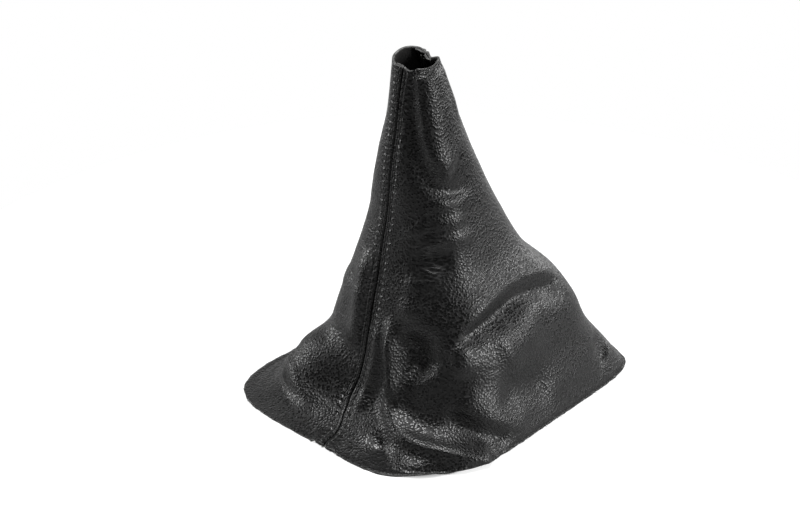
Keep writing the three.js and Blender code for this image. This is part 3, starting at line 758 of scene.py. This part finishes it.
class Shade:
    """A node socket that takes part in arithmetic: an expression on it adds Math nodes."""

    def __init__(self, finish, socket):
        self.finish, self.socket = finish, socket

    def math(self, operation, *values, clamp=False):
        inputs = dict(enumerate(values))
        return self.finish.node("ShaderNodeMath", {"operation": operation, "use_clamp": clamp}, inputs)

    def __add__(self, other):
        return self.math("ADD", self, other)

    __radd__ = __add__

    def __sub__(self, other):
        return self.math("SUBTRACT", self, other)

    def __rsub__(self, other):
        return self.math("SUBTRACT", other, self)

    def __mul__(self, other):
        return self.math("MULTIPLY", self, other)

    __rmul__ = __mul__

    def __truediv__(self, other):
        return self.math("DIVIDE", self, other)

    def __pow__(self, other):
        return self.math("POWER", self, other)

    def clamped(self):
        return self.math("ADD", self, 0, clamp=True)

    def above(self, low, high):
        """0 below low, 1 above high, and a smooth way between."""
        settings = {"interpolation_type": "SMOOTHSTEP"}
        return self.finish.node("ShaderNodeMapRange", settings, {0: self, 1: low, 2: high, 3: 0, 4: 1})


class Finish:
    """A procedural material or world, made node by node."""

    def __init__(self, owner):
        owner.use_nodes = True
        self.owner = owner
        self.tree = owner.node_tree
        self.tree.nodes.clear()

    def node(self, kind, settings=None, inputs=None, output=0):
        """Adds a node: its settings first, then the values or links of its sockets."""
        made = self.tree.nodes.new(kind)
        for name, value in (settings or {}).items():
            setattr(made, name, value)
        for name, value in (inputs or {}).items():
            socket = self.socket(made.inputs, name)
            if isinstance(value, Shade):
                self.tree.links.new(value.socket, socket)
            elif hasattr(socket.default_value, "__len__") and len(socket.default_value) == 4:
                socket.default_value = (*value, 1)
            else:
                socket.default_value = value
        return Shade(self, self.socket(made.outputs, output)) if made.outputs else None

    @staticmethod
    def socket(sockets, name):
        if isinstance(name, int):
            return sockets[name]
        return next(s for s in sockets if name in (s.identifier, s.name))

    def mix(self, factor, first, second):
        """Colour between two colours."""
        return self.node("ShaderNodeMix", {"data_type": "RGBA"},
                         {"Factor_Float": factor, "A_Color": first, "B_Color": second}, "Result_Color")

    def vectors(self, operation, *values):
        return self.node("ShaderNodeVectorMath", {"operation": operation}, dict(enumerate(values)))

    def scaled(self, vector, factor):
        return self.node("ShaderNodeVectorMath", {"operation": "SCALE"}, {"Vector": vector, "Scale": factor})

    def place(self):
        """Place on the object, in metres."""
        return self.node("ShaderNodeTexCoord", output="Object")

    def noise(self, vector, scale, detail, roughness=0.5, output="Fac"):
        return self.node("ShaderNodeTexNoise", {}, {
            "Vector": vector, "Scale": scale, "Detail": detail, "Roughness": roughness}, output)

    def domes(self, vector, size):
        """Rounded pebbles with sharp valleys between them: 1 on top, 0 in a deep valley."""
        apart = self.node("ShaderNodeTexVoronoi", {"feature": "F1"},
                          {"Vector": vector, "Scale": 1 / size}, "Distance")
        return (1 - (apart * 1.3)**2).clamped()

    def bump(self, height, distance):
        return self.node("ShaderNodeBump", {}, {"Height": height, "Distance": distance, "Strength": 1})

    def surface(self, **inputs):
        shader = self.node("ShaderNodeBsdfPrincipled", {}, {
            name.replace("_", " "): value for name, value in inputs.items()}, "BSDF")
        self.node("ShaderNodeOutputMaterial", {}, {"Surface": shader})
        return self.owner


def new_finish(name):
    """An empty material."""
    return Finish(bpy.data.materials.new(name))


def shaded(colour, factor):
    """A colour made lighter or darker."""
    return tuple(min(1, part * factor) for part in colour)


def stitch_dents(f, offset, stitch):
    """Where the holes of the stitches are, and the height in millimetres of these holes and
    of the puckers beside them."""
    phase, from_seam = (
        f.node("ShaderNodeAttribute", {"attribute_name": field}, output="Fac")
        for field in ("stitch_phase", "from_seam"))
    from_row = from_seam - offset
    from_hole = (f.node("ShaderNodeMath", {"operation": "FRACT"}, {0: phase + 0.5}) - 0.5) * stitch
    depth, across, along = HOLE
    hole = (1 - (from_row / across)**2 - (from_hole / along)**2).clamped()
    height, away, width = PUCKER
    wave = f.node("ShaderNodeMath", {"operation": "COSINE"}, {0: phase * math.tau})
    pucker = (1 - ((from_row - away) / width)**2).clamped() * wave
    return hole, hole * -depth - pucker * height


def grain_leather(leather, offset, stitch):
    """Black leather with a pebbled grain, drawn out into creases where the skin is gathered.
    The rows' offset from a seam and the length of a stitch are in millimetres."""
    f = new_finish("black grained leather")
    place = f.place()
    gathers = f.node("ShaderNodeAttribute", {"attribute_name": "gathers"}, output="Fac").above(0.04, 0.5)
    strays = f.scaled(f.noise(place, 420, 2, output="Color"), leather.grain_size * 0.5)
    strayed = f.vectors("ADD", place, strays)
    creased = f.node("ShaderNodeMapping", {}, {"Vector": strayed, "Scale": leather.crease_shape})
    pebbles, creases = f.domes(strayed, leather.grain_size), f.domes(creased, leather.grain_size)
    grain = pebbles + (creases - pebbles) * gathers
    pores = f.noise(place, 2600, 2, 0.6)
    patches = f.noise(place, 26, 3, 0.55)
    wear = f.noise(place, 90, 3, 0.6)
    skin = grain * (0.55 + 0.9 * patches) + pores * 0.12
    holes, dents = stitch_dents(f, offset, stitch)
    normal = f.bump(skin * (leather.grain_depth / MM) + dents, MM)
    # Painted shade: the base colour is darker in the valleys between pebbles and lighter on their tops, with
    # a little random wear mixed in
    valley_shade_and_wear = (grain * 0.8 + wear * 0.2).clamped()
    colour = f.mix(valley_shade_and_wear, shaded(leather.colour, 0.75), shaded(leather.colour, 1.5))
    rough = leather.roughness + (1 - grain) * leather.valley_roughness + (patches - 0.5) * 0.12
    return f.surface(Base_Color=colour, Roughness=(rough + holes * 0.8).clamped(), Normal=normal,
                     Specular_IOR_Level=leather.specular)


def cut_leather(leather):
    """Raw cut edge: matt fibres packed between the grain and the nap."""
    f = new_finish("cut leather edge")
    place = f.place()
    fibres = f.noise(place, 2600, 3, 0.7)
    bands = f.noise(place, 300, 2)
    colour = f.mix(fibres.above(0.35, 0.75), shaded(leather.cut_colour, 0.3), leather.cut_colour)
    colour = f.mix(bands.above(0.45, 0.7) * 0.4, colour, shaded(leather.cut_colour, 1.9))
    return f.surface(Base_Color=colour, Roughness=0.92 - bands * 0.1, Normal=f.bump(fibres, 0.0003),
                     Specular_IOR_Level=0.15)


def flesh_leather(leather):
    """Napped inside of the leather."""
    f = new_finish("napped flesh side")
    place = f.place()
    nap = f.noise(place, 1500, 4, 0.7)
    strokes = f.noise(place, 60, 3, 0.6)
    colour = f.mix(nap.above(0.3, 0.75), shaded(leather.flesh_colour, 0.45), leather.flesh_colour)
    colour = f.mix(strokes.above(0.4, 0.7) * 0.5, colour, shaded(leather.flesh_colour, 1.5))
    return f.surface(Base_Color=colour, Roughness=0.96 - strokes * 0.06, Normal=f.bump(nap, 0.0004),
                     Specular_IOR_Level=0.12, Sheen_Weight=0.08, Sheen_Roughness=0.6)


def bonded_thread(thread):
    """Black bonded thread, with the fine fibres of its plies."""
    f = new_finish("black bonded thread")
    place = f.place()
    fibres = f.noise(place, 7000, 2, 0.6)
    colour = f.mix(fibres, shaded(thread.colour, 0.5), shaded(thread.colour, 2.2))
    return f.surface(Base_Color=colour, Roughness=0.3 + fibres * 0.2, Normal=f.bump(fibres, 0.00008),
                     Specular_IOR_Level=0.5)


# Operators

class GAITER_OT_panels(bpy.types.Operator):
    """Build the two sewn leather panels, as thin sheets in their folds"""
    bl_idname = "gaiter.panels"
    bl_label = "Leather panels"

    def execute(self, context):
        leather = context.scene.gaiter_leather
        boot = Boot(leather, context.scene.gaiter_thread)
        coarser = 1
        levels = row_levels(leather.rows // coarser)
        finishes = [
            grain_leather(leather, boot.offset, boot.stitch), cut_leather(leather), flesh_leather(leather)]
        random = np.random.default_rng(FIBRE_SEED)
        front, rear = SEAMS.items()
        rear_from_left = ("rear", [(level, angle - 360) for level, angle in REAR_SEAM])
        for side, seams in {"right": (front, rear), "left": (rear_from_left, front)}.items():
            parts = panel_mesh(boot, levels, leather.columns // coarser, *seams)
            piece = parts.build(f"{side}_leather", finishes, "leather")
            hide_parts(f"{side}_panel")
            fibres = edge_fibres(boot, leather, *seams, random)
            fibres = fibres.build(f"{side}_foot_fibres", [finishes[CUT]], "leather")
        return {"FINISHED"}


class GAITER_OT_threads(bpy.types.Operator):
    """Sew the seams: two rows of topstitching, their bobbin threads and the closing thread"""
    bl_idname = "gaiter.threads"
    bl_label = "Seam threads"

    def execute(self, context):
        thread = context.scene.gaiter_thread
        boot = Boot(context.scene.gaiter_leather, thread)
        finish = bonded_thread(thread)
        radius, closing = thread.radius / MM, thread.closing_radius / MM
        clearance = thread.clearance / MM
        inside = boot.inner_layer + boot.leather + clearance + radius
        closing_reach = boot.turn_radius + clearance + closing
        valley = boot.turn_radius + boot.seam_gap / 2
        closing_depth = boot.turn_radius + math.sqrt(closing_reach**2 - valley**2)

        def sew(seam, row, level, heights, distance, radius):
            name, path = seam
            piece = seam_thread(boot, path, distance, heights, level, radius).build(
                f"{name}_{row}_sewn", [finish], "thread")
            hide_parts(f"{name}_{row}")

        for seam in SEAMS.items():
            top, arch = stitch_levels(boot, seam, TOPSTITCH_STEPS)
            low, low_arch = stitch_levels(boot, seam, INSIDE_STEPS, INSIDE_START)
            topstitch = TOPSTITCH_RISE * arch - TOPSTITCH_SUNK
            bobbin = BOBBIN_SAG * (1 - low_arch) - inside
            for side, distance in (("left", -boot.offset), ("right", boot.offset)):
                sew(seam, f"topstitch_{side}", top, topstitch, distance, radius)
                sew(seam, f"bobbin_thread_{side}", low, bobbin, distance, radius)
            sew(seam, "closing_thread", low, CLOSING_SAG * (1 - low_arch) - closing_depth, 0.0, closing)
        return {"FINISHED"}


class GAITER_OT_stage(bpy.types.Operator):
    """Set a pale floor, a white surround, soft studio light and the camera"""
    bl_idname = "gaiter.stage"
    bl_label = "Stage"

    def execute(self, context):
        stage = context.scene.gaiter_stage
        self.floor(context, stage)
        self.surround(context, stage)
        self.lamps(context, stage)
        self.camera(context, stage)
        context.scene.view_settings.view_transform = "Standard"
        return {"FINISHED"}

    @staticmethod
    def floor(context, stage):
        turn = 2 * np.pi * np.arange(FLOOR_CORNERS) / FLOOR_CORNERS
        rim = stage.floor_radius * np.stack([np.cos(turn), np.sin(turn), 0 * turn], -1)
        mesh = bpy.data.meshes.new("floor")
        mesh.from_pydata((rim - (0, 0, UNDER_FLOOR)).tolist(), [], [list(range(FLOOR_CORNERS))])
        piece = bpy.data.objects.new("floor", mesh)
        context.scene.collection.objects.link(piece)
        f = new_finish("pale floor")
        direct, mirrored = ray_kinds(f)
        matt = f.node("ShaderNodeBsdfDiffuse", {}, {"Color": stage.floor_colour})
        place = f.node("ShaderNodeNewGeometry", output="Position")
        across, along = (f.node("ShaderNodeSeparateXYZ", {}, {"Vector": place}, axis) / half
                         for axis, half in zip("XY", UNDER_BOOT))
        beyond = ((across * across)**2 + (along * along)**2).above(0.85, 1)
        strength = (direct * 0.75 + mirrored * 0.05) * beyond
        glow = f.node("ShaderNodeEmission", {}, {"Color": (1, 1, 1), "Strength": strength})
        both = f.node("ShaderNodeAddShader", {}, {0: matt, 1: glow})
        f.node("ShaderNodeOutputMaterial", {}, {"Surface": both})
        mesh.materials.append(f.owner)

    @staticmethod
    def surround(context, stage):
        world = bpy.data.worlds.new("white surround")
        context.scene.world = world
        f = Finish(world)
        direct, mirrored = ray_kinds(f)
        direction = f.node("ShaderNodeTexCoord", output="Generated")
        back, up = (
            f.node("ShaderNodeVectorMath", {"operation": "DOT_PRODUCT"}, {0: direction, 1: axis}, "Value")
            for axis in (-towards(stage.azimuth, 0), (0, 0, 1)))
        horizon = back.above(0.55, 0.9) * (1 - up.above(0.35, 0.75))
        strength = direct + (1 - direct) * (mirrored * horizon + (1 - mirrored) * 0.1)
        sky = f.node("ShaderNodeBackground", {}, {"Color": (1, 1, 1), "Strength": strength})
        f.node("ShaderNodeOutputWorld", {}, {"Surface": sky})

    @staticmethod
    def lamps(context, stage):
        target = Vector((0, 0, LAMP_TARGET))
        for name, (angles, (width, length), share) in SOFTBOXES.items():
            lamp = bpy.data.lights.new(name, "AREA")
            lamp.shape = "RECTANGLE"
            lamp.size, lamp.size_y = width, length
            lamp.energy = share * stage.softbox_radiance * math.pi * width * length
            piece = bpy.data.objects.new(name, lamp)
            away = towards(*(math.radians(a) for a in angles))
            piece.location = target + LAMP_DISTANCE * away
            piece.rotation_euler = away.to_track_quat("Z", "Y").to_euler()
            context.scene.collection.objects.link(piece)

    @staticmethod
    def camera(context, stage):
        right = Vector((math.cos(stage.azimuth), math.sin(stage.azimuth), 0))
        back = towards(stage.azimuth, stage.elevation)
        target = CAMERA_ASIDE * right + Vector((0, 0, CAMERA_TARGET))
        camera = bpy.data.cameras.new("camera")
        camera.sensor_width, camera.lens = 36, stage.lens
        camera.clip_start = 0.01
        piece = bpy.data.objects.new("camera", camera)
        piece.location = target + stage.distance * back
        piece.rotation_euler = back.to_track_quat("Z", "Y").to_euler()
        context.scene.collection.objects.link(piece)
        context.scene.camera = piece


def towards(azimuth, elevation):
    """Direction at an angle round the gaiter and above the floor."""
    level = math.cos(elevation)
    return Vector((math.sin(azimuth) * level, -math.cos(azimuth) * level, math.sin(elevation)))


def ray_kinds(finish):
    """1 for camera rays, and 1 for rays that reach a thing by a reflection or through glass."""
    path = {name: finish.node("ShaderNodeLightPath", output=f"Is {name} Ray")
            for name in ("Camera", "Glossy", "Transmission")}
    return path["Camera"], (path["Glossy"] + path["Transmission"]).clamped()


class GAITER_PT_sidebar(bpy.types.Panel):
    bl_label = "Gear lever gaiter"
    bl_idname = "GAITER_PT_sidebar"
    bl_space_type = "VIEW_3D"
    bl_region_type = "UI"
    bl_category = "Gaiter"

    def draw(self, context):
        for group in SETTINGS:
            box = self.layout.box()
            settings = getattr(context.scene, group)
            for name in settings.__annotations__:
                box.prop(settings, name)
        for operator in OPERATORS:
            self.layout.operator(operator.bl_idname)


SETTINGS = {
    "gaiter_leather": LeatherSettings,
    "gaiter_thread": ThreadSettings,
    "gaiter_stage": StageSettings,
}
OPERATORS = [GAITER_OT_panels, GAITER_OT_threads, GAITER_OT_stage]
CLASSES = [*SETTINGS.values(), *OPERATORS, GAITER_PT_sidebar]


def register():
    for cls in CLASSES:
        bpy.utils.register_class(cls)
    for name, group in SETTINGS.items():
        setattr(bpy.types.Scene, name, bpy.props.PointerProperty(type=group))


def unregister():
    for name in SETTINGS:
        delattr(bpy.types.Scene, name)
    for cls in reversed(CLASSES):
        bpy.utils.unregister_class(cls)


def main():
    register()
    bpy.ops.gaiter.panels()
    bpy.ops.gaiter.threads()
    bpy.ops.gaiter.stage()


if __name__ == "__main__":
    main()
